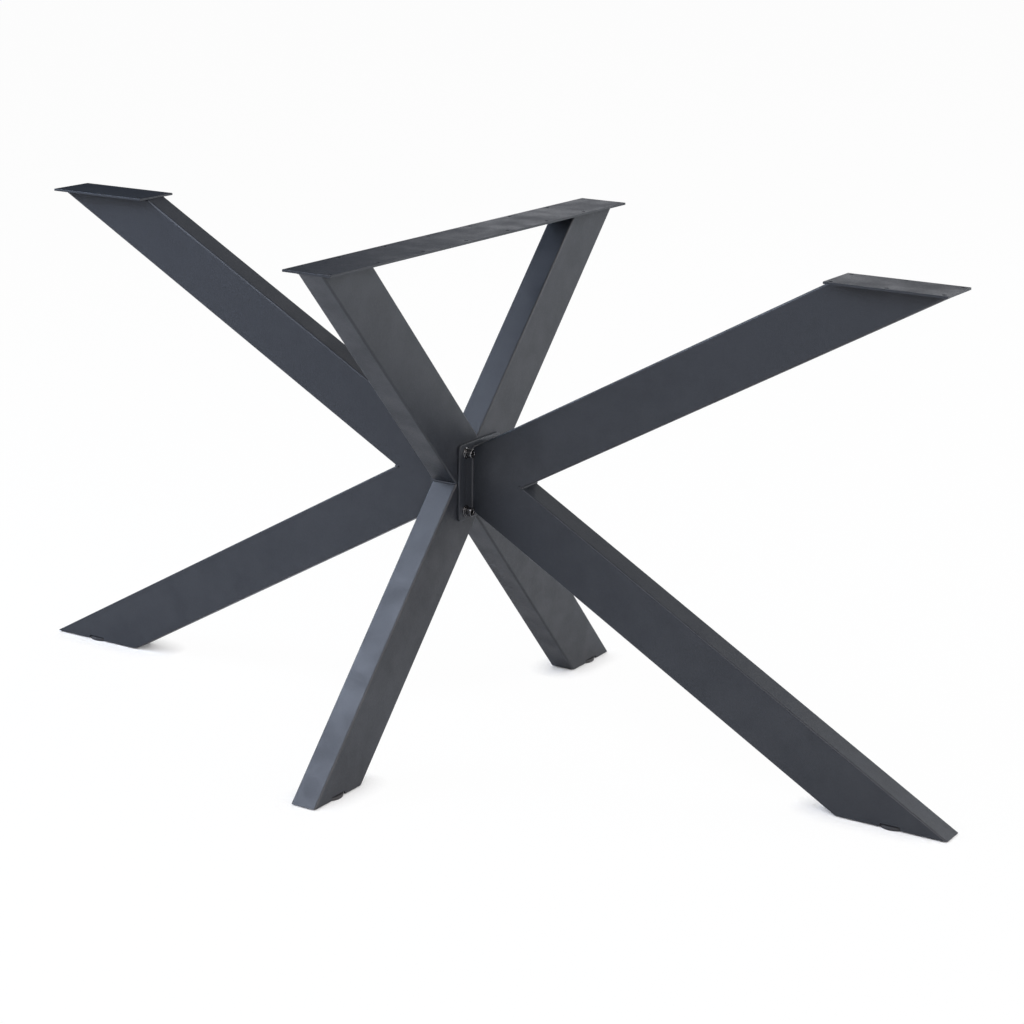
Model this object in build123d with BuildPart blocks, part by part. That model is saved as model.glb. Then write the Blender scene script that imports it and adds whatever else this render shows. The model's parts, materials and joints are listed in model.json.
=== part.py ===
import os
from math import cos, radians, sin, sqrt

from build123d import *

os.makedirs("parts", exist_ok=True)

# Star table base: two long V frames bolted to the sides of a cross frame.
# X runs along the table, Y across it, Z up from the floor. Sizes in mm.

# overall heights
height = 718.0
hub_height = 374.5
floor_gap = 2.0

# rectangular tube
tube_width = 80.0
tube_depth = 40.0
tube_wall = 2.0
tube_corner = 3.0

# slopes of the tubes from the level
long_upper_angle = 29.0
long_lower_angle = 29.6
cross_upper_angle = 47.3
cross_lower_angle = 47.9

# plates that carry the table top
top_plate_thickness = 3.0
top_plate_corner = 1.0
side_plate_length = 168.0
side_plate_width = 76.0
side_plate_holes = 3
centre_plate_length = 750.0
centre_plate_width = 76.0
centre_plate_holes = 8
top_hole_diameter = 6.0
top_hole_edge = 7.0
top_hole_end = 8.0
top_edge_break = 0.4

# flange plates at the hub
hub_plate_thickness = 4.0
hub_plate_corner = 6.0
hub_bolt_side = 16.0
hub_bolt_edge = 16.5
hub_bolt_rise = 42.0
hub_bolt_end = 13.0

# metric screws, nuts and washers
thread_diameter = 8.0
thread_clearance = 0.05
through_clearance = 0.5
bolt_length = 20.0
bolt_head_diameter = 13.0
bolt_head_height = 8.0
bolt_head_bevel = 0.8
bolt_socket_flats = 6.0
bolt_socket_depth = 4.0
bolt_tip = 1.0
flat_washer_diameter = 16.0
flat_washer_thickness = 1.6
flat_washer_clearance = 0.2
spring_washer_diameter = 14.0
spring_washer_thickness = 2.0
spring_washer_clearance = 0.1
spring_washer_split = 1.2
nut_flats = 13.0
nut_height = 6.5
nut_chamfer = 0.8

# levelling feet
pad_diameter = 45.0
pad_height = 5.0
pad_bevel = 1.0
foot_raise = 1.0
slot_side_clearance = 1.2
slot_top_clearance = 0.5
slot_corner = 2.0
foot_plate_thickness = 4.0
foot_plate_corner = 2.0
foot_plate_above_slot = 1.0
stud_spare = 15.5
stud_head_diameter = 20.0
stud_head_height = 2.0
stud_head_recess = 1.0

# values that follow from the sizes above
half_width = tube_width / 2
half_depth = tube_depth / 2
tube_top = height - top_plate_thickness
hub_face = half_depth + hub_plate_thickness
long_crotch = hub_face + half_width / sin(radians((long_upper_angle + long_lower_angle) / 2))
cross_crotch = half_width / sin(radians((cross_upper_angle + cross_lower_angle) / 2))
bolt_y = half_depth + hub_bolt_side
thread_radius = thread_diameter / 2
through_radius = thread_radius + through_clearance
inner_half_depth = half_depth - tube_wall
slot_half = sqrt(max((pad_diameter / 2) ** 2 - inner_half_depth**2, 0.0)) + slot_side_clearance
slot_top = pad_height + foot_raise + slot_top_clearance
foot_plate_base = slot_top + foot_plate_above_slot
foot_plate_top = foot_plate_base + foot_plate_thickness
stud_top = foot_plate_top + nut_height + stud_spare
bolt_points = [(y, hub_height + rise) for y in (-bolt_y, bolt_y) for rise in (-hub_bolt_rise, hub_bolt_rise)]


def cut_centre(crotch, angle, rise):
    # middle of a tube's level cut, measured out from the hub axis
    slope = radians(angle)
    return crotch + rise * cos(slope) / sin(slope) - half_width / sin(slope)


long_top = cut_centre(long_crotch, long_upper_angle, tube_top - hub_height)
long_foot = cut_centre(long_crotch, long_lower_angle, hub_height - floor_gap)
cross_foot = cut_centre(cross_crotch, cross_lower_angle, hub_height - floor_gap)


def run_plane(crotch, angle, side):
    # section plane of a tube in the XZ plane that leaves the crotch upwards (side 1) or downwards (side -1)
    slope = radians(angle)
    middle = (crotch - half_width * sin(slope), 0, hub_height + side * half_width * cos(slope))
    return Plane(origin=middle, x_dir=(0, 1, 0), z_dir=(cos(slope), 0, side * sin(slope)))


def tube_run(plane):
    # long hollow tube on the section plane, to be cut to its ends
    with BuildPart() as run:
        with BuildSketch(plane):
            RectangleRounded(tube_depth, tube_width, tube_corner)
            RectangleRounded(
                tube_depth - 2 * tube_wall, tube_width - 2 * tube_wall, tube_corner - tube_wall, mode=Mode.SUBTRACT
            )
        extrude(amount=2 * height, both=True)
    return run.part


def tube_core(plane):
    # space inside a tube, with corners that stay clear of the tube's own
    with BuildPart() as core:
        with BuildSketch(plane):
            RectangleRounded(tube_depth - 2 * tube_wall, tube_width - 2 * tube_wall, foot_plate_corner)
        extrude(amount=2 * height, both=True)
    return core.part


def upper_tube(crotch, angle, inner):
    # tube from the hub up to its top plate, cut level at both ends and upright at the hub
    with BuildPart() as tube:
        add(tube_run(run_plane(crotch, angle, 1)))
        with BuildSketch(Plane.XY.offset(hub_height)):
            with Locations((inner, 0)):
                Rectangle(2 * height, tube_width, align=(Align.MIN, Align.CENTER))
        extrude(amount=tube_top - hub_height, mode=Mode.INTERSECT)
    return tube.part


def lower_tube(crotch, angle, inner, foot):
    # tube from the hub down to its foot, with a slot in each wide wall for the levelling pad
    with BuildPart() as tube:
        add(tube_run(run_plane(crotch, angle, -1)))
        with BuildSketch(Plane.XY.offset(floor_gap)):
            with Locations((inner, 0)):
                Rectangle(2 * height, tube_width, align=(Align.MIN, Align.CENTER))
        extrude(amount=hub_height - floor_gap, mode=Mode.INTERSECT)
        with BuildSketch(Plane.XZ) as slot:
            with Locations((foot, slot_top)):
                Rectangle(2 * slot_half, slot_top, align=(Align.CENTER, Align.MAX))
            fillet(slot.vertices().group_by(Axis.Y)[-1], slot_corner)
        extrude(amount=tube_depth, both=True, mode=Mode.SUBTRACT)
    return tube.part


def foot_plate(crotch, angle, foot):
    # level plate inside the foot end of a tube, bored for the levelling stud
    with BuildPart() as plate:
        add(tube_core(run_plane(crotch, angle, -1)))
        with BuildSketch(Plane.XY.offset(foot_plate_base)):
            Rectangle(8 * height, tube_depth)
        extrude(amount=foot_plate_thickness, mode=Mode.INTERSECT)
        with Locations((foot, 0, foot_plate_top)):
            Hole(through_radius)
    return plate.part


def hex_nut(plane):
    # nut that stands on the plane, its corners turned down at both ends
    with BuildPart() as nut:
        with BuildSketch(plane):
            Circle(nut_flats / sqrt(3))
        extrude(amount=nut_height)
        chamfer(nut.edges().filter_by(GeomType.CIRCLE), nut_chamfer)
        with BuildSketch(plane):
            RegularPolygon(nut_flats / 2, 6, major_radius=False)
            Circle(thread_radius + thread_clearance, mode=Mode.SUBTRACT)
        extrude(amount=nut_height, mode=Mode.INTERSECT)
    return nut.part


def socket_bolt(plane):
    # socket head bolt with the underside of its head on the plane, pointing against the plane's normal
    with BuildPart() as bolt:
        with BuildSketch(plane):
            Circle(bolt_head_diameter / 2)
        extrude(amount=bolt_head_height)
        rim = bolt.edges().filter_by(GeomType.CIRCLE).sort_by_distance(plane.origin)[-1]
        chamfer(rim, bolt_head_bevel)
        with BuildSketch(plane):
            Circle(thread_radius)
        extrude(amount=-bolt_length)
        tip = bolt.edges().filter_by(GeomType.CIRCLE).sort_by_distance(plane.offset(-bolt_length).origin)[0]
        chamfer(tip, bolt_tip)
        with BuildSketch(plane.offset(bolt_head_height)):
            RegularPolygon(bolt_socket_flats / 2, 6, major_radius=False)
        extrude(amount=-bolt_socket_depth, mode=Mode.SUBTRACT)
    return bolt.part


def flat_washer(plane):
    # plain washer lying on the plane
    with BuildPart() as washer:
        with BuildSketch(plane):
            Circle(flat_washer_diameter / 2)
            Circle(thread_radius + flat_washer_clearance, mode=Mode.SUBTRACT)
        extrude(amount=flat_washer_thickness)
    return washer.part


def spring_washer(plane):
    # split washer lying on the plane
    with BuildPart() as washer:
        with BuildSketch(plane):
            Circle(spring_washer_diameter / 2)
            Circle(thread_radius + spring_washer_clearance, mode=Mode.SUBTRACT)
            with Locations((0, spring_washer_diameter / 2)):
                Rectangle(spring_washer_split, spring_washer_diameter, mode=Mode.SUBTRACT)
        extrude(amount=spring_washer_thickness)
    return washer.part


def foot_stud(x, y):
    # threaded stud with a flat head that sits in the pad
    head_top = stud_head_recess + stud_head_height
    with BuildPart() as stud:
        with BuildSketch(Plane.XY.offset(stud_head_recess)):
            with Locations((x, y)):
                Circle(stud_head_diameter / 2)
        extrude(amount=stud_head_height)
        with BuildSketch(Plane.XY.offset(head_top)):
            with Locations((x, y)):
                Circle(thread_radius)
        extrude(amount=stud_top - head_top)
        chamfer(stud.edges().filter_by(GeomType.CIRCLE).sort_by(Axis.Z)[-1], bolt_tip)
    return stud.part


def foot_pad(x, y):
    # round pad that stands on the floor, hollowed below for the head of its stud
    with BuildPart() as pad:
        with BuildSketch():
            with Locations((x, y)):
                Circle(pad_diameter / 2)
        extrude(amount=pad_height)
        chamfer(pad.edges().filter_by(GeomType.CIRCLE), pad_bevel)
        with BuildSketch():
            with Locations((x, y)):
                Circle(stud_head_diameter / 2 + thread_clearance)
        extrude(amount=stud_head_recess + stud_head_height, mode=Mode.SUBTRACT)
        with Locations((x, y, pad_height)):
            Hole(thread_radius + thread_clearance)
    return pad.part


def bolt_planes(x):
    # planes at x across the four bolt axes of the right flange, facing outwards
    return [Plane(origin=(x, y, z), x_dir=(0, 1, 0), z_dir=(1, 0, 0)) for y, z in bolt_points]


def save(piece, label):
    piece.part.label = label
    export_step(piece.part, f"parts/{label}.step")


# right and left V frames
with BuildPart() as right_upper_tube:
    add(upper_tube(long_crotch, long_upper_angle, hub_face))
save(right_upper_tube, "right_upper_tube")

with BuildPart() as left_upper_tube:
    mirror(right_upper_tube.part, about=Plane.YZ)
save(left_upper_tube, "left_upper_tube")

with BuildPart() as right_lower_tube:
    add(lower_tube(long_crotch, long_lower_angle, hub_face, long_foot))
save(right_lower_tube, "right_lower_tube")

with BuildPart() as left_lower_tube:
    mirror(right_lower_tube.part, about=Plane.YZ)
save(left_lower_tube, "left_lower_tube")

# cross frame, the same cuts turned a quarter about the hub axis
with BuildPart() as back_upper_tube:
    add(upper_tube(cross_crotch, cross_upper_angle, 0), rotation=(0, 0, 90))
    with BuildSketch(Plane.YZ):
        with Locations(*bolt_points):
            Circle(through_radius)
    extrude(amount=tube_depth, both=True, mode=Mode.SUBTRACT)
save(back_upper_tube, "back_upper_tube")

with BuildPart() as front_upper_tube:
    mirror(back_upper_tube.part, about=Plane.XZ)
save(front_upper_tube, "front_upper_tube")

with BuildPart() as back_lower_tube:
    add(lower_tube(cross_crotch, cross_lower_angle, 0, cross_foot), rotation=(0, 0, 90))
    with BuildSketch(Plane.YZ):
        with Locations(*bolt_points):
            Circle(through_radius)
    extrude(amount=tube_depth, both=True, mode=Mode.SUBTRACT)
save(back_lower_tube, "back_lower_tube")

with BuildPart() as front_lower_tube:
    mirror(back_lower_tube.part, about=Plane.XZ)
save(front_lower_tube, "front_lower_tube")

# side plates, each level on the end of a V frame
with BuildPart() as right_top_plate:
    with BuildSketch(Plane.XY.offset(tube_top)):
        with Locations((long_top, 0)):
            RectangleRounded(side_plate_length, side_plate_width, top_plate_corner)
    extrude(amount=top_plate_thickness)
    chamfer(right_top_plate.faces().sort_by(Axis.Z)[-1].edges(), top_edge_break)
    with BuildSketch(Plane.XY.offset(height)):
        with Locations((long_top, 0)):
            with GridLocations(
                (side_plate_length - 2 * top_hole_end) / (side_plate_holes - 1),
                side_plate_width - 2 * top_hole_edge,
                side_plate_holes,
                2,
            ):
                Circle(top_hole_diameter / 2)
    extrude(amount=-top_plate_thickness, mode=Mode.SUBTRACT)
save(right_top_plate, "right_top_plate")

with BuildPart() as left_top_plate:
    mirror(right_top_plate.part, about=Plane.YZ)
save(left_top_plate, "left_top_plate")

# centre plate, crosswise over both upper tubes of the cross frame
with BuildPart() as centre_top_plate:
    with BuildSketch(Plane.XY.offset(tube_top)):
        RectangleRounded(centre_plate_width, centre_plate_length, top_plate_corner)
    extrude(amount=top_plate_thickness)
    chamfer(centre_top_plate.faces().sort_by(Axis.Z)[-1].edges(), top_edge_break)
    with BuildSketch(Plane.XY.offset(height)):
        with GridLocations(
            centre_plate_width - 2 * top_hole_edge,
            (centre_plate_length - 2 * top_hole_end) / (centre_plate_holes - 1),
            2,
            centre_plate_holes,
        ):
            Circle(top_hole_diameter / 2)
    extrude(amount=-top_plate_thickness, mode=Mode.SUBTRACT)
save(centre_top_plate, "centre_top_plate")

# flange plates between the V frames and the cross frame
with BuildPart() as right_hub_plate:
    with BuildSketch(Plane.YZ.offset(half_depth)):
        with Locations((0, hub_height)):
            RectangleRounded(2 * (bolt_y + hub_bolt_edge), 2 * (hub_bolt_rise + hub_bolt_end), hub_plate_corner)
        with Locations(*bolt_points):
            Circle(through_radius, mode=Mode.SUBTRACT)
    extrude(amount=hub_plate_thickness)
save(right_hub_plate, "right_hub_plate")

with BuildPart() as left_hub_plate:
    mirror(right_hub_plate.part, about=Plane.YZ)
save(left_hub_plate, "left_hub_plate")

# bolts through each flange, with a flat and a spring washer under the head and a nut inside the tube wall
washer_seat = hub_face
spring_seat = washer_seat + flat_washer_thickness
head_seat = spring_seat + spring_washer_thickness
nut_seat = inner_half_depth - nut_height

with BuildPart() as right_hub_bolts:
    for plane in bolt_planes(head_seat):
        add(socket_bolt(plane))
save(right_hub_bolts, "right_hub_bolts")

with BuildPart() as right_hub_spring_washers:
    for plane in bolt_planes(spring_seat):
        add(spring_washer(plane))
save(right_hub_spring_washers, "right_hub_spring_washers")

with BuildPart() as right_hub_flat_washers:
    for plane in bolt_planes(washer_seat):
        add(flat_washer(plane))
save(right_hub_flat_washers, "right_hub_flat_washers")

with BuildPart() as right_hub_nuts:
    for plane in bolt_planes(nut_seat):
        add(hex_nut(plane))
save(right_hub_nuts, "right_hub_nuts")

with BuildPart() as left_hub_bolts:
    mirror(right_hub_bolts.part, about=Plane.YZ)
save(left_hub_bolts, "left_hub_bolts")

with BuildPart() as left_hub_spring_washers:
    mirror(right_hub_spring_washers.part, about=Plane.YZ)
save(left_hub_spring_washers, "left_hub_spring_washers")

with BuildPart() as left_hub_flat_washers:
    mirror(right_hub_flat_washers.part, about=Plane.YZ)
save(left_hub_flat_washers, "left_hub_flat_washers")

with BuildPart() as left_hub_nuts:
    mirror(right_hub_nuts.part, about=Plane.YZ)
save(left_hub_nuts, "left_hub_nuts")

# plates inside the foot ends of the lower tubes
with BuildPart() as right_foot_plate:
    add(foot_plate(long_crotch, long_lower_angle, long_foot))
save(right_foot_plate, "right_foot_plate")

with BuildPart() as left_foot_plate:
    mirror(right_foot_plate.part, about=Plane.YZ)
save(left_foot_plate, "left_foot_plate")

with BuildPart() as back_foot_plate:
    add(foot_plate(cross_crotch, cross_lower_angle, cross_foot), rotation=(0, 0, 90))
save(back_foot_plate, "back_foot_plate")

with BuildPart() as front_foot_plate:
    mirror(back_foot_plate.part, about=Plane.XZ)
save(front_foot_plate, "front_foot_plate")

# levelling feet: a nut on each foot plate, and a stud with its pad that screws through it
feet = {"right": (long_foot, 0), "left": (-long_foot, 0), "front": (0, -cross_foot), "back": (0, cross_foot)}
for side, (x, y) in feet.items():
    with BuildPart() as foot_nut:
        add(hex_nut(Plane(origin=(x, y, foot_plate_top))))
    save(foot_nut, f"{side}_foot_nut")

    with BuildPart() as stud:
        add(foot_stud(x, y))
    save(stud, f"{side}_foot_stud")

    with BuildPart() as pad:
        add(foot_pad(x, y))
    save(pad, f"{side}_foot_pad")
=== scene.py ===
import json
from math import cos, pi, radians, sin

import bmesh
import bpy
from mathutils import Matrix, Vector

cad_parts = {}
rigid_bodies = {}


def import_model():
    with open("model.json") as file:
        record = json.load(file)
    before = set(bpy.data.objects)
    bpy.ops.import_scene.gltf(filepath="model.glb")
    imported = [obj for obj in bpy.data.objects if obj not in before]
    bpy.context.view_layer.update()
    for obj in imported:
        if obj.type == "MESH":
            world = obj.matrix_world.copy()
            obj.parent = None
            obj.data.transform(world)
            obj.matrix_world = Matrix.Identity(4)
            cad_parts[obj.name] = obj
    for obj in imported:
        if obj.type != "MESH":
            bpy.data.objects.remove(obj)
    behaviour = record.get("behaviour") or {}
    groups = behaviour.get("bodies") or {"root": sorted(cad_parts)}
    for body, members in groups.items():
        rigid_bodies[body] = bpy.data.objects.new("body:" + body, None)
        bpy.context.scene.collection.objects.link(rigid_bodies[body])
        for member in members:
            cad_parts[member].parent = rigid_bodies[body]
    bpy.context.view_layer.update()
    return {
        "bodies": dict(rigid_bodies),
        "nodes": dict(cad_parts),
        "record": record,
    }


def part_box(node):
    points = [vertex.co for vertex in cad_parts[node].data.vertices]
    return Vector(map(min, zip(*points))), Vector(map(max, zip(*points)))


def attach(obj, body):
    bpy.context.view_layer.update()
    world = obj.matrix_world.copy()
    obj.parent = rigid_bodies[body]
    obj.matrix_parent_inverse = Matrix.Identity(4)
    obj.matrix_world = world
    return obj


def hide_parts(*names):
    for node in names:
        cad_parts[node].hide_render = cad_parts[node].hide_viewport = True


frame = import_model()
nodes = frame["nodes"]
nodeSlot = {part["node"]: part["material_slot"] for part in frame["record"]["subparts"]}
scene = bpy.context.scene
print("frame loaded:", len(nodes), "pieces")

# camera as the photograph was taken: metres and degrees, focal length and picture width in pixels
view = {
    "place": (1.83958, -2.85731, 1.28361),
    "turn": 31.65, "down": 15.842, "roll": 0.929,
    "focal": 2482.665, "width": 1024, "sensor": 36, "farClip": 100,
}


def addCamera():
    data = bpy.data.cameras.new("camera")
    data.lens = view["focal"] / view["width"] * view["sensor"]
    data.sensor_width = view["sensor"]
    data.clip_end = view["farClip"]
    cam = bpy.data.objects.new("camera", data)
    scene.collection.objects.link(cam)
    aim = Matrix.Rotation(radians(view["turn"]), 4, "Z") @ Matrix.Rotation(radians(90 - view["down"]), 4, "X")
    roll = Matrix.Rotation(radians(view["roll"]), 4, "Z")
    cam.matrix_world = Matrix.Translation(view["place"]) @ aim @ roll
    scene.camera = cam


# grain of every sprayed, plated or moulded surface
grainForm = {
    "detail": {"Fine": 3, "Peel": 1, "Cloud": 3, "Speck": 2},
    "spread": (0.34, 0.66),                                 # noise values at the two ends of the tone
}


# gives a height for the bump, and a tone of slow clouds and fine specks
def makeGrain():
    group = bpy.data.node_groups.new("surfaceGrain", "ShaderNodeTree")
    for name in ("Fine", "Peel", "Peel Share", "Cloud", "Speck", "Speck Share"):
        group.interface.new_socket(name, in_out="INPUT", socket_type="NodeSocketFloat")
    for name in ("Height", "Tone"):
        group.interface.new_socket(name, in_out="OUTPUT", socket_type="NodeSocketFloat")
    add = group.nodes.new
    link = group.links.new

    def blend(share, first, second):
        mix = add("ShaderNodeMix")
        for socket, value in zip((0, 2, 3), (share, first, second)):    # factor, A and B of a mix of numbers
            link(value, mix.inputs[socket])
        return mix.outputs[0]

    given = add("NodeGroupInput")
    out = add("NodeGroupOutput")
    place = add("ShaderNodeTexCoord")
    noise = {}
    for key, detail in grainForm["detail"].items():
        node = add("ShaderNodeTexNoise")
        node.inputs["Detail"].default_value = detail
        link(place.outputs["Object"], node.inputs["Vector"])
        link(given.outputs[key], node.inputs["Scale"])
        noise[key] = node.outputs["Fac"]
    spread = {}
    for key in ("Cloud", "Speck"):
        node = add("ShaderNodeMapRange")
        node.inputs["From Min"].default_value, node.inputs["From Max"].default_value = grainForm["spread"]
        link(noise[key], node.inputs["Value"])
        spread[key] = node.outputs["Result"]
    link(blend(given.outputs["Peel Share"], noise["Fine"], noise["Peel"]), out.inputs["Height"])
    link(blend(given.outputs["Speck Share"], spread["Cloud"], spread["Speck"]), out.inputs["Tone"])
    return group


# colours and roughness run from the dark to the light end of the tone
# grain sizes are per metre, and the depth of the bump is in metres
finishes = {
    "powderCoat": {
        "slot": "powder_coat", "metal": 0.0, "gloss": 0.5, "rough": (0.54, 0.36), "depth": 0.00022,
        "dark": (0.0106, 0.013, 0.0172), "light": (0.0146, 0.0172, 0.022),
        "grain": {
            "Fine": 1500.0, "Peel": 340.0, "Peel Share": 0.5,
            "Cloud": 26.0, "Speck": 420.0, "Speck Share": 0.3,
        },
    },
    "blackScrews": {
        "slot": "black_screws", "metal": 1.0, "gloss": 0.5, "rough": (0.24, 0.12), "depth": 0.00001,
        "dark": (0.15, 0.15, 0.155), "light": (0.24, 0.24, 0.245),
        "grain": {
            "Fine": 2600.0, "Peel": 700.0, "Peel Share": 0.3,
            "Cloud": 40.0, "Speck": 900.0, "Speck Share": 0.4,
        },
    },
    "zincPlate": {
        "slot": "zinc_plate", "metal": 1.0, "gloss": 0.5, "rough": (0.38, 0.26), "depth": 0.00001,
        "dark": (0.52, 0.53, 0.55), "light": (0.66, 0.67, 0.68),
        "grain": {
            "Fine": 2200.0, "Peel": 500.0, "Peel Share": 0.4,
            "Cloud": 40.0, "Speck": 600.0, "Speck Share": 0.5,
        },
    },
    "padPlastic": {
        "slot": "pad_plastic", "metal": 0.0, "gloss": 0.4, "rough": (0.7, 0.52), "depth": 0.00005,
        "dark": (0.024, 0.024, 0.026), "light": (0.036, 0.036, 0.038),
        "grain": {
            "Fine": 1800.0, "Peel": 400.0, "Peel Share": 0.2,
            "Cloud": 40.0, "Speck": 800.0, "Speck Share": 0.4,
        },
    },
}


def makeFinish(name, look):
    mat = bpy.data.materials.new(name)
    mat.use_nodes = True
    tree = mat.node_tree
    add = tree.nodes.new
    link = tree.links.new
    shader = tree.nodes["Principled BSDF"]
    shader.inputs["Metallic"].default_value = look["metal"]
    shader.inputs["Specular IOR Level"].default_value = look["gloss"]
    group = add("ShaderNodeGroup")
    group.node_tree = grain
    for label, value in look["grain"].items():
        group.inputs[label].default_value = value
    tone = add("ShaderNodeMix")
    tone.data_type = "RGBA"                                 # A and B of a mix of colours are its inputs 6 and 7
    tone.inputs[6].default_value = (*look["dark"], 1)
    tone.inputs[7].default_value = (*look["light"], 1)
    rough = add("ShaderNodeMapRange")
    rough.inputs["To Min"].default_value, rough.inputs["To Max"].default_value = look["rough"]
    bump = add("ShaderNodeBump")
    bump.inputs["Strength"].default_value = 1.0
    bump.inputs["Distance"].default_value = look["depth"]
    link(group.outputs["Tone"], tone.inputs[0])
    link(group.outputs["Tone"], rough.inputs["Value"])
    link(group.outputs["Height"], bump.inputs["Height"])
    link(tone.outputs[2], shader.inputs["Base Color"])
    link(rough.outputs["Result"], shader.inputs["Roughness"])
    link(bump.outputs["Normal"], shader.inputs["Normal"])
    return mat


grain = makeGrain()
slotMats = {look["slot"]: makeFinish(name, look) for name, look in finishes.items()}
for node, slot in nodeSlot.items():
    mesh = nodes[node].data
    mesh.materials.clear()
    mesh.materials.append(slotMats[slot])
print("finishes:", len(slotMats))


def middle(node):
    low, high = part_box(node)
    return (Vector(low) + Vector(high)) / 2


# a modifier tree with named inputs, each with its kind of socket
def newTree(name, inputs):
    tree = bpy.data.node_groups.new(name, "GeometryNodeTree")
    tree.is_modifier = True
    tree.interface.new_socket("Geometry", in_out="INPUT", socket_type="NodeSocketGeometry")
    for label, kind in inputs.items():
        tree.interface.new_socket(label, in_out="INPUT", socket_type="NodeSocket" + kind)
    tree.interface.new_socket("Geometry", in_out="OUTPUT", socket_type="NodeSocketGeometry")
    return tree


# copies of one shape on every point, turned to face the same way and then each by an angle of its own
def makePlacer():
    tree = newTree("placeOnPoints", {
        "Shape": "Object", "Facing": "Rotation", "Seed": "Int", "Finish": "Material",
    })
    add = tree.nodes.new
    link = tree.links.new
    given = add("NodeGroupInput")
    out = add("NodeGroupOutput")
    shape = add("GeometryNodeObjectInfo")
    chance = add("FunctionNodeRandomValue")
    chance.data_type = "FLOAT"                              # least and most are its inputs 2 and 3
    chance.inputs[2].default_value = -pi
    chance.inputs[3].default_value = pi
    spin = add("ShaderNodeCombineXYZ")
    spun = add("FunctionNodeRotateRotation")
    spun.rotation_space = "LOCAL"
    place = add("GeometryNodeInstanceOnPoints")
    solid = add("GeometryNodeRealizeInstances")
    paint = add("GeometryNodeSetMaterial")
    link(given.outputs["Shape"], shape.inputs["Object"])
    link(given.outputs["Seed"], chance.inputs["Seed"])
    link(chance.outputs[1], spin.inputs["Z"])
    link(given.outputs["Facing"], spun.inputs["Rotation"])
    link(spin.outputs[0], spun.inputs["Rotate By"])
    link(given.outputs["Geometry"], place.inputs["Points"])
    link(shape.outputs["Geometry"], place.inputs["Instance"])
    link(spun.outputs[0], place.inputs["Rotation"])
    link(place.outputs[0], solid.inputs[0])
    link(solid.outputs[0], paint.inputs["Geometry"])
    link(given.outputs["Finish"], paint.inputs["Material"])
    link(paint.outputs[0], out.inputs[0])
    return tree


# a weld bead: points along one ripple, points round its section, and lumps per metre
beadForm = {"along": 4, "around": 8, "lumps": 130}


# a rippled bead along the edges of a path
def makeBead():
    sizes = {label: "Float" for label in ("Leg", "Pitch", "Ripple", "Uneven", "Seed")}
    tree = newTree("weldBead", {**sizes, "Finish": "Material"})
    add = tree.nodes.new
    link = tree.links.new

    def sums(kind, *values):
        node = add("ShaderNodeMath")
        node.operation = kind
        for socket, value in zip(node.inputs, values):
            if isinstance(value, (int, float)):
                socket.default_value = value
            else:
                link(value, socket)
        return node.outputs[0]

    given = add("NodeGroupInput")
    out = add("NodeGroupOutput")
    path = add("GeometryNodeMeshToCurve")
    fine = add("GeometryNodeResampleCurve")
    fine.mode = "LENGTH"
    along = add("GeometryNodeSplineParameter")
    blotch = add("ShaderNodeTexNoise")
    blotch.noise_dimensions = "4D"
    blotch.inputs["Scale"].default_value = beadForm["lumps"]
    section = add("GeometryNodeCurvePrimitiveCircle")
    section.inputs["Resolution"].default_value = beadForm["around"]
    section.inputs["Radius"].default_value = 1
    skin = add("GeometryNodeCurveToMesh")
    skin.inputs["Fill Caps"].default_value = True
    smooth = add("GeometryNodeSetShadeSmooth")
    solid = add("GeometryNodeRealizeInstances")
    paint = add("GeometryNodeSetMaterial")
    link(given.outputs["Geometry"], path.inputs[0])
    link(path.outputs[0], fine.inputs["Curve"])
    link(sums("MULTIPLY", given.outputs["Pitch"], 1 / beadForm["along"]), fine.inputs["Length"])
    link(given.outputs["Seed"], blotch.inputs["W"])
    ripples = sums("DIVIDE", along.outputs["Length"], given.outputs["Pitch"])
    wave = sums("SINE", sums("MULTIPLY", ripples, 2 * pi))
    ripple = sums("MULTIPLY", wave, given.outputs["Ripple"])
    lumps = sums("MULTIPLY", sums("SUBTRACT", blotch.outputs["Fac"], 0.5), given.outputs["Uneven"])
    size = sums("MULTIPLY", sums("ADD", 1, sums("ADD", ripple, lumps)), given.outputs["Leg"])
    link(fine.outputs[0], skin.inputs["Curve"])
    link(section.outputs[0], skin.inputs["Profile Curve"])
    link(size, skin.inputs["Scale"])
    link(skin.outputs[0], smooth.inputs[0])
    link(smooth.outputs[0], solid.inputs[0])
    link(solid.outputs[0], paint.inputs["Geometry"])
    link(given.outputs["Finish"], paint.inputs["Material"])
    link(paint.outputs[0], out.inputs[0])
    return tree


def settle(name, mesh, body, stands=()):
    piece = bpy.data.objects.new(name, mesh)
    scene.collection.objects.link(piece)
    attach(piece, body)
    if stands:
        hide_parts(*stands)


# runs a tree on a mesh of points or edges and keeps the result as a plain piece
def grow(name, mesh, tree, values, body, slot, stands=()):
    holder = bpy.data.objects.new(name + "Path", mesh)
    scene.collection.objects.link(holder)
    modifier = holder.modifiers.new(name, "NODES")
    modifier.node_group = tree
    keys = {item.name: item.identifier for item in tree.interface.items_tree if item.in_out == "INPUT"}
    for label, value in values.items():
        modifier[keys[label]] = value
    modifier[keys["Finish"]] = slotMats[slot]
    graph = bpy.context.evaluated_depsgraph_get()
    made = bpy.data.meshes.new_from_object(holder.evaluated_get(graph))
    bpy.data.objects.remove(holder)
    made.name = name
    settle(name, made, body, stands)


def pointsMesh(name, points, edges=()):
    mesh = bpy.data.meshes.new(name)
    mesh.from_pydata(points, edges, [])
    return mesh


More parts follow.
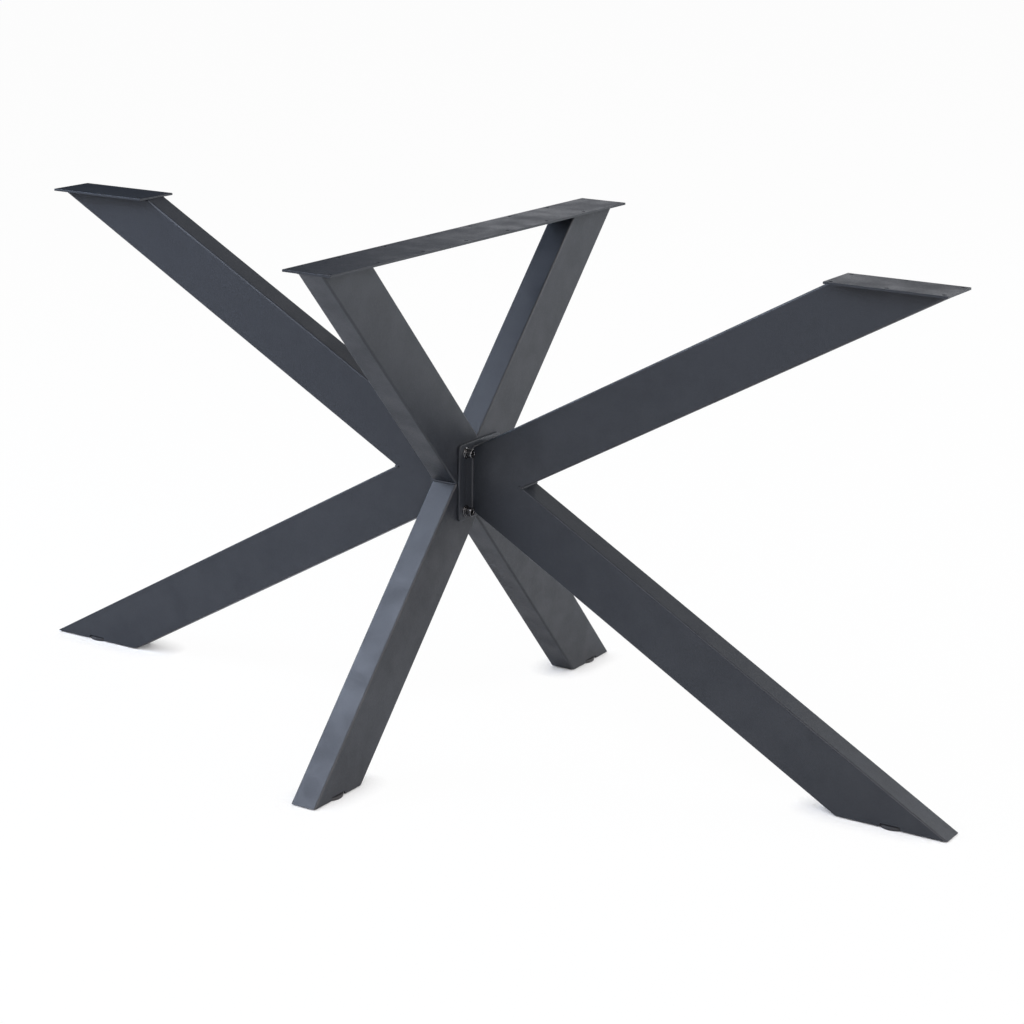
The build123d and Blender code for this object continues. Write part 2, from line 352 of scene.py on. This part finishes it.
# skin through rings of points; a looped skin joins its last ring to the first, others are capped
def ringsMesh(name, rings, looped=False, crease=32):
    count = len(rings[0])
    points = [point for ring in rings for point in ring]
    faces = []
    for row in range(len(rings) if looped else len(rings) - 1):
        near, far = row * count, (row + 1) % len(rings) * count
        for i in range(count):
            j = (i + 1) % count
            faces.append((near + i, near + j, far + j, far + i))
    if not looped:
        faces += [tuple(range(count)), tuple(range(len(points) - count, len(points)))]
    mesh = bpy.data.meshes.new(name)
    mesh.from_pydata(points, [], faces)
    work = bmesh.new()
    work.from_mesh(mesh)
    bmesh.ops.recalc_face_normals(work, faces=work.faces)
    work.to_mesh(mesh)
    work.free()
    mesh.shade_smooth()
    mesh.set_sharp_from_angle(angle=radians(crease))
    return mesh


mmPerMetre = 1000


# a level ring with one point for each radius; millimetres come in and metres leave
def levelRing(radii, z):
    ring = []
    for i, radius in enumerate(radii):
        turn = 2 * pi * i / len(radii)
        reach = radius / mmPerMetre
        ring.append((reach * cos(turn), reach * sin(turn), z / mmPerMetre))
    return ring


# every second point may stand proud for a knurl
def roundRing(radius, z, count, ridge=0.0):
    return levelRing([radius + ridge * (i % 2) for i in range(count)], z)


def hexRing(flats, z, count):
    return levelRing([flats / 2 / cos(2 * pi * i / count % (pi / 3) - pi / 6) for i in range(count)], z)


# rolled threads: depth in pitches, rings per pitch, and the width and slope of the groove
threadForm = {"depth": 0.55, "rows": 6, "width": 1.15, "slope": 2.6}


# the groove winds once per pitch from low to high and fades out at both ends
def threadRings(radius, pitch, low, high, count):
    depth = pitch * threadForm["depth"]
    rows = round((high - low) / pitch * threadForm["rows"])
    rings = []
    for row in range(rows + 1):
        z = low + (high - low) * row / rows
        fade = max(0.0, min(1.0, (z - low) / pitch, (high - z) / pitch))
        radii = []
        for i in range(count):
            wind = (z / pitch - i / count) % 1
            groove = threadForm["width"] - threadForm["slope"] * abs(wind - 0.5)
            radii.append(radius - depth * min(1.0, max(0.0, groove)) * fade)
        rings.append(levelRing(radii, z))
    return rings


placer = makePlacer()
bead = makeBead()

# hub screws, millimetres from the seat each piece stands on
screw = {
    "thread": 4.0, "pitch": 1.25, "length": 20.0, "plain": 4.0, "neck": 0.4, "chamfer": 1.0,
    "head": 6.5, "rise": 8.0, "rim": 0.7, "rimSteps": 3,
    "foot": (0.5, 0.4),                                     # slant under the head, in and up
    "knurl": 0.09, "ridges": 36,
    "knurlFrom": (0.8, 1.1), "knurlTo": (1.6, 1.3),         # where the ridges rise; where they end, from the top
    "socket": 6.0, "socketDepth": 4.0, "mouth": 3.84, "lead": 0.45,
    "drill": (0.5, 0.6),                                    # radius and depth of the drill's point
}
flatWasher = {"outer": 8.0, "inner": 4.2, "thick": 1.6, "edge": 0.18, "topEdge": 0.36, "around": 64}
springWasher = {
    "outer": 7.0, "inner": 4.1, "thick": 2.0, "edge": 0.2, "topEdge": 0.2, "split": 1.2, "around": 40,
}
# the hub itself in metres; each side has its direction along X and a seed for the turn of its pieces
hub = {
    "height": middle("right_hub_plate").z, "across": 0.036, "up": 0.042,
    "seats": {"flat": 0.024, "spring": 0.0256, "screw": 0.0276},
    "sides": {"right": (1, 3), "left": (-1, 8)},
}


def screwMesh():
    thread, length, chamfer = screw["thread"], screw["length"], screw["chamfer"]
    rise, rim, knurl, count = screw["rise"], screw["rim"], screw["knurl"], screw["ridges"] * 2
    head = screw["head"] - knurl                            # radius between the ridges
    footIn, footUp = screw["foot"]
    floor = rise - screw["socketDepth"]
    drillRadius, drillDepth = screw["drill"]
    rings = [roundRing(thread - chamfer, -length, count)]
    rings += threadRings(thread, screw["pitch"], chamfer - length, -screw["plain"], count)
    rings += [roundRing(thread, -screw["neck"], count), roundRing(thread, 0, count)]
    rings += [roundRing(screw["head"] - footIn, 0, count), roundRing(head, footUp, count)]
    flush, proud = screw["knurlFrom"]
    rings += [roundRing(head, flush, count), roundRing(head, proud, count, knurl)]
    proud, flush = screw["knurlTo"]
    rings += [roundRing(head, rise - proud, count, knurl), roundRing(head, rise - flush, count)]
    for step in range(screw["rimSteps"] + 1):               # rounded rim
        lean = pi / 2 * step / screw["rimSteps"]
        rings.append(roundRing(head - rim + rim * cos(lean), rise - rim + rim * sin(lean), count))
    rings += [roundRing(screw["mouth"], rise, count), hexRing(screw["socket"], rise - screw["lead"], count)]
    rings += [hexRing(screw["socket"], floor, count), roundRing(drillRadius, floor - drillDepth, count)]
    return ringsMesh("screw", rings)


# section of a washer from its lower outer edge, up and round to its lower inner edge
def washerProfile(washer):
    outer, inner, thick, edge, topEdge = (washer[key] for key in ("outer", "inner", "thick", "edge", "topEdge"))
    return (
        (outer - edge, 0), (outer, edge), (outer, thick - topEdge), (outer - topEdge, thick),
        (inner + edge, thick), (inner, thick - edge), (inner, edge), (inner + edge, 0),
    )


def flatWasherMesh():
    rings = [roundRing(radius, z, flatWasher["around"]) for radius, z in washerProfile(flatWasher)]
    return ringsMesh("flatWasher", rings, looped=True)


def springWasherMesh():
    gap = springWasher["split"] / (springWasher["outer"] + springWasher["inner"])
    sections = []
    for step in range(springWasher["around"] + 1):
        turn = gap + (2 * pi - 2 * gap) * step / springWasher["around"]
        section = []
        for radius, z in washerProfile(springWasher):
            section.append((radius * cos(turn) / mmPerMetre, radius * sin(turn) / mmPerMetre, z / mmPerMetre))
        sections.append(section)
    return ringsMesh("springWasher", sections)


def addHubScrews():
    shapes = {
        "screw": (screwMesh(), "HubBolts", "_hub_bolts"),
        "spring": (springWasherMesh(), "HubSpringWashers", "_hub_spring_washers"),
        "flat": (flatWasherMesh(), "HubFlatWashers", "_hub_flat_washers"),
    }
    across, up, height = hub["across"], hub["up"], hub["height"]
    for key, (mesh, label, tail) in shapes.items():
        pattern = bpy.data.objects.new(key + "Pattern", mesh)
        scene.collection.objects.link(pattern)
        for side, (sign, seed) in hub["sides"].items():
            name, node = side + label, side + tail
            seat = sign * hub["seats"][key]
            points = [(seat, y, height + z) for y in (-across, across) for z in (-up, up)]
            values = {"Shape": pattern, "Facing": (0, sign * pi / 2, 0), "Seed": seed}
            grow(name, pointsMesh(name, points), placer, values, "frame", nodeSlot[node], [node])
        bpy.data.objects.remove(pattern)


addHubScrews()
print("hub screws placed")

# flange plates, with the edges that the coat leaves soft; metres and degrees
flange = {"soften": 0.0008, "steps": 3, "merge": 0.00001, "flat": 1, "corner": 40, "crease": 35}


def addFlanges():
    for side in hub["sides"]:
        name, node = side + "HubPlate", side + "_hub_plate"
        work = bmesh.new()
        work.from_mesh(nodes[node].data)
        bmesh.ops.remove_doubles(work, verts=work.verts, dist=flange["merge"])
        bmesh.ops.dissolve_limit(work, angle_limit=radians(flange["flat"]), verts=work.verts, edges=work.edges)
        joined = [edge for edge in work.edges if len(edge.link_faces) == 2]
        corners = [edge for edge in joined if edge.calc_face_angle() > radians(flange["corner"])]
        bmesh.ops.bevel(
            work, geom=corners, offset=flange["soften"], segments=flange["steps"], profile=0.5, affect="EDGES",
        )
        mesh = bpy.data.meshes.new(name)
        work.to_mesh(mesh)
        work.free()
        if "custom_normal" in mesh.attributes:              # it belongs to the plate's sharp edges
            mesh.attributes.remove(mesh.attributes["custom_normal"])
        mesh.shade_smooth()
        mesh.set_sharp_from_angle(angle=radians(flange["crease"]))
        mesh.materials.append(slotMats[nodeSlot[node]])
        settle(name, mesh, "frame", [node])


addFlanges()
print("flanges softened")

# levelling feet, millimetres from the floor; the pad's points run round its section
foot = {
    "sides": ("right", "left", "front", "back"),
    "pad": (
        (21.2, 0), (21.8, 0.14), (22.3, 0.5), (22.5, 1.0), (22.5, 4.0), (22.32, 4.5), (21.86, 4.86),
        (21.3, 5.0), (10.6, 5.0), (10.2, 4.7), (9.6, 4.7), (9.2, 5.0), (4.4, 5.0), (4.06, 4.7), (4.06, 3.0),
        (10.05, 3.0), (10.05, 0.3), (10.35, 0),
    ),
    "padAround": 96,
}
stud = {
    "radius": 4.0, "pitch": 1.25, "threadFrom": 5.2, "top": 33.5, "chamfer": 1.0, "around": 32,
    "head": 10.0, "low": 1.0, "shoulder": 3.0, "edge": 0.4,
    "caps": (0.5, 0.4),                                     # small rings that close the two ends
}


def padMesh():
    return ringsMesh("pad", [roundRing(radius, z, foot["padAround"]) for radius, z in foot["pad"]], looped=True)


def studMesh():
    radius, top, chamfer, count = stud["radius"], stud["top"], stud["chamfer"], stud["around"]
    head, low, shoulder, edge = stud["head"], stud["low"], stud["shoulder"], stud["edge"]
    lowCap, topCap = stud["caps"]
    profile = (
        (lowCap, low), (head - edge, low), (head, low + edge),
        (head, shoulder - edge), (head - edge, shoulder), (radius, shoulder),
    )
    rings = [roundRing(reach, z, count) for reach, z in profile]
    rings += threadRings(radius, stud["pitch"], stud["threadFrom"], top - chamfer, count)
    rings += [roundRing(radius - chamfer, top, count), roundRing(topCap, top, count)]
    return ringsMesh("stud", rings)


def addFeet():
    shapes = {"FootPad": (padMesh(), "_foot_pad"), "FootStud": (studMesh(), "_foot_stud")}
    for label, (mesh, tail) in shapes.items():
        pattern = bpy.data.objects.new(label + "Pattern", mesh)
        scene.collection.objects.link(pattern)
        for seed, side in enumerate(foot["sides"]):
            name, node = side + label, side + tail
            x, y, _ = middle(side + "_foot_pad")
            values = {"Shape": pattern, "Facing": (0, 0, 0), "Seed": seed}
            grow(name, pointsMesh(name, [(x, y, 0)]), placer, values, side + "_foot", nodeSlot[node], [node])
        bpy.data.objects.remove(pattern)


addFeet()
print("feet placed")

# weld beads, metres; the places are where the tubes end, from the hub and from the ends of the upper tubes
welds = {
    "beads": {
        "hubFlange": {"Leg": 0.0022, "Pitch": 0.0024},
        "topPlates": {"Leg": 0.0020, "Pitch": 0.0024},
        "crotches": {"Leg": 0.0018, "Pitch": 0.0022},
    },
    "ripple": 0.07, "uneven": 0.5, "seedStep": 3.7,
    "tubeHalf": 0.020, "corner": 0.003, "cornerSteps": 3,
    "flangeFace": 0.024, "flangeRun": (-0.0456, 0.0462),    # where the long tubes end on a flange
    "longCut": 0.1646, "crossCut": 0.1084,                  # level cuts of the upper tubes under their plates
    "endGap": 0.004,
    "longCrotch": 0.1057, "crossCrotch": 0.0542, "crossHalf": 0.0188,
    "longRun": (                                            # round the long tubes' crotch: inward, and along Y
        (0.0046, -0.0195), (0.0018, -0.0200), (-0.0006, -0.0188),
        (-0.0006, 0.0188), (0.0018, 0.0200), (0.0046, 0.0195),
    ),
}


def loop(points):
    return points, [(i, (i + 1) % len(points)) for i in range(len(points))]


def line(points):
    return points, [(i, i + 1) for i in range(len(points) - 1)]


# a rectangle with its corners taken round as the tube's own are
def roundedFrame(low, high):
    corner, steps = welds["corner"], welds["cornerSteps"]
    (left, near), (right, far) = (low[0] + corner, low[1] + corner), (high[0] - corner, high[1] - corner)
    points = []
    for x, y, start in ((right, far, 0), (left, far, 90), (left, near, 180), (right, near, 270)):
        for step in range(steps + 1):
            turn = radians(start + step * 90 / steps)
            points.append((x + corner * cos(turn), y + corner * sin(turn)))
    return points


def weldRuns():
    runs = {label: [] for label in welds["beads"]}
    height, half, gap = hub["height"], welds["tubeHalf"], welds["endGap"]
    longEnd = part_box("right_upper_tube")[1][0]
    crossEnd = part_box("back_upper_tube")[1][1]
    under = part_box("centre_top_plate")[0][2]
    low, high = welds["flangeRun"]
    flangeEnd = roundedFrame((-half, height + low), (half, height + high))
    for sign in (1, -1):
        runs["hubFlange"].append(loop([(sign * welds["flangeFace"], y, z) for y, z in flangeEnd]))
        ends = (sign * (longEnd - welds["longCut"] + gap), sign * (longEnd - gap))
        for side in (1, -1):
            runs["topPlates"].append(line([(x, side * half, under) for x in ends]))
        near, far = sorted((sign * (crossEnd - welds["crossCut"]), sign * crossEnd))
        crossTop = roundedFrame((-half, near), (half, far))
        runs["topPlates"].append(loop([(x, y, under) for x, y in crossTop]))
        longRun = [(sign * (welds["longCrotch"] - inward), y, height) for inward, y in welds["longRun"]]
        crossRun = [(x, sign * welds["crossCrotch"], height) for x in (-welds["crossHalf"], welds["crossHalf"])]
        runs["crotches"] += [line(longRun), line(crossRun)]
    return runs


def addWelds():
    for number, (label, runs) in enumerate(weldRuns().items()):
        points, edges = [], []
        for run, joins in runs:
            edges += [(a + len(points), b + len(points)) for a, b in joins]
            points += run
        values = {"Ripple": welds["ripple"], "Uneven": welds["uneven"], "Seed": number * welds["seedStep"]}
        values.update(welds["beads"][label])
        grow(label + "Welds", pointsMesh(label, points, edges), bead, values, "frame", "powder_coat")


addWelds()
print("welds laid")

# studio: pale floor and soft square lamps round the object, all aimed at its middle
# a lamp has its bearing from the front towards the right and its height in degrees,
# then its distance and side in metres, its watts and its tint
studio = {
    "floorSize": 60.0,
    "floorTone": 0.7,
    "floorRough": 0.9,
    "floorWhite": (0.975, 0.2),                             # white seen by the camera and by reflections
    "contact": 0.035,                                       # this near the object the floor keeps its shade
    "sky": 0.003,
    "skyWhite": (1.0, 0.003),
    "aim": (0, 0, 0.4),
    "lamps": {
        "frontHigh": (-15, 55, 4.5, 2.5, 91.0, (0.86, 0.9, 1.0)),
        "frontLeft": (-45, 28, 4.5, 2.5, 115.0, (0.77, 0.825, 1.0)),
        "nearLeft": (-67.7, 33, 2.28, 0.9, 30.0, (0.67, 0.79, 1.0)),
        "frontRight": (45, 28, 4.5, 2.5, 120.0, (1.0, 0.96, 0.96)),
        "right": (90, 28, 9.0, 5.0, 135.0, (1.0, 0.895, 0.84)),
        "rightLow": (90, 10, 9.0, 3.6, 185.0, (1.0, 0.945, 0.955)),
        "backRight": (135, 28, 9.0, 5.0, 470.0, (1.0, 0.99, 0.98)),
        "backRightLow": (135, 10, 9.0, 3.6, 110.0, (0.76, 0.88, 1.0)),
        "backMiddle": (158, 18, 4.5, 2.0, 9.4, (0.77, 0.84, 1.0)),
        "backLeft": (-158, 18, 4.5, 2.0, 12.7, (0.94, 0.955, 1.0)),
        "backHigh": (180, 50, 4.5, 3.0, 6.0, (1.0, 0.95, 0.9)),
    },
}


def addLamp(name, bearing, rise, reach, size, watts, tint):
    data = bpy.data.lights.new(name, "AREA")
    data.shape = "SQUARE"
    data.size = size
    data.energy = watts
    data.color = tint
    lamp = bpy.data.objects.new(name, data)
    turn, up = radians(bearing), radians(rise)
    out = Vector((sin(turn) * cos(up), -cos(turn) * cos(up), sin(up)))
    lamp.location = Vector(studio["aim"]) + out * reach
    lamp.rotation_euler = (-out).to_track_quat("-Z", "Y").to_euler()
    scene.collection.objects.link(lamp)


# share of plain white: one value for the camera, one for reflections and for rays that pass through
def whiteShare(tree, seen, mirrored):
    link = tree.links.new
    path = tree.nodes.new("ShaderNodeLightPath")
    steps = [tree.nodes.new("ShaderNodeMath") for _ in range(4)]
    for step, kind in zip(steps, ("MULTIPLY", "MAXIMUM", "MULTIPLY", "MAXIMUM")):
        step.operation = kind
    eye, rays, mirror, most = steps
    eye.inputs[1].default_value = seen
    mirror.inputs[1].default_value = mirrored
    link(path.outputs["Is Camera Ray"], eye.inputs[0])
    link(path.outputs["Is Glossy Ray"], rays.inputs[0])
    link(path.outputs["Is Transmission Ray"], rays.inputs[1])
    link(rays.outputs[0], mirror.inputs[0])
    link(eye.outputs[0], most.inputs[0])
    link(mirror.outputs[0], most.inputs[1])
    return most.outputs[0]


def floorMat():
    mat = bpy.data.materials.new("paleFloor")
    mat.use_nodes = True
    tree = mat.node_tree
    add = tree.nodes.new
    link = tree.links.new
    shader = tree.nodes["Principled BSDF"]
    shader.inputs["Base Color"].default_value = (*(studio["floorTone"],) * 3, 1)
    shader.inputs["Roughness"].default_value = studio["floorRough"]
    white = add("ShaderNodeEmission")
    blend = add("ShaderNodeMixShader")
    near = add("ShaderNodeAmbientOcclusion")
    near.samples = 1
    near.inputs["Distance"].default_value = studio["contact"]
    clear = add("ShaderNodeMath")
    clear.operation = "MULTIPLY"
    link(near.outputs["AO"], clear.inputs[0])
    link(whiteShare(tree, *studio["floorWhite"]), clear.inputs[1])
    link(clear.outputs[0], blend.inputs[0])
    link(shader.outputs[0], blend.inputs[1])
    link(white.outputs[0], blend.inputs[2])
    link(blend.outputs[0], tree.nodes["Material Output"].inputs[0])
    return mat


def addFloor():
    half = studio["floorSize"] / 2
    mesh = bpy.data.meshes.new("floor")
    corners = [(-half, -half, 0), (half, -half, 0), (half, half, 0), (-half, half, 0)]
    mesh.from_pydata(corners, [], [(0, 1, 2, 3)])
    mesh.materials.append(floorMat())
    floor = bpy.data.objects.new("floor", mesh)
    scene.collection.objects.link(floor)
    for side in foot["sides"]:                              # it goes down with the foot screwed out furthest
        under = floor.constraints.new("FLOOR")
        under.target = frame["bodies"][side + "_foot"]
        under.floor_location = "FLOOR_NEGATIVE_Z"


def addSky():
    world = bpy.data.worlds.new("sky")
    world.use_nodes = True
    tree = world.node_tree
    link = tree.links.new
    dim = tree.nodes["Background"]
    dim.inputs["Color"].default_value = (1, 1, 1, 1)
    dim.inputs["Strength"].default_value = studio["sky"]
    white = tree.nodes.new("ShaderNodeBackground")
    white.inputs["Color"].default_value = (1, 1, 1, 1)
    blend = tree.nodes.new("ShaderNodeMixShader")
    link(whiteShare(tree, *studio["skyWhite"]), blend.inputs[0])
    link(dim.outputs[0], blend.inputs[1])
    link(white.outputs[0], blend.inputs[2])
    link(blend.outputs[0], tree.nodes["World Output"].inputs[0])
    scene.world = world


addCamera()
addFloor()
addSky()
for name, lamp in studio["lamps"].items():
    addLamp(name, *lamp)
scene.view_settings.view_transform = "Standard"
print("studio ready")
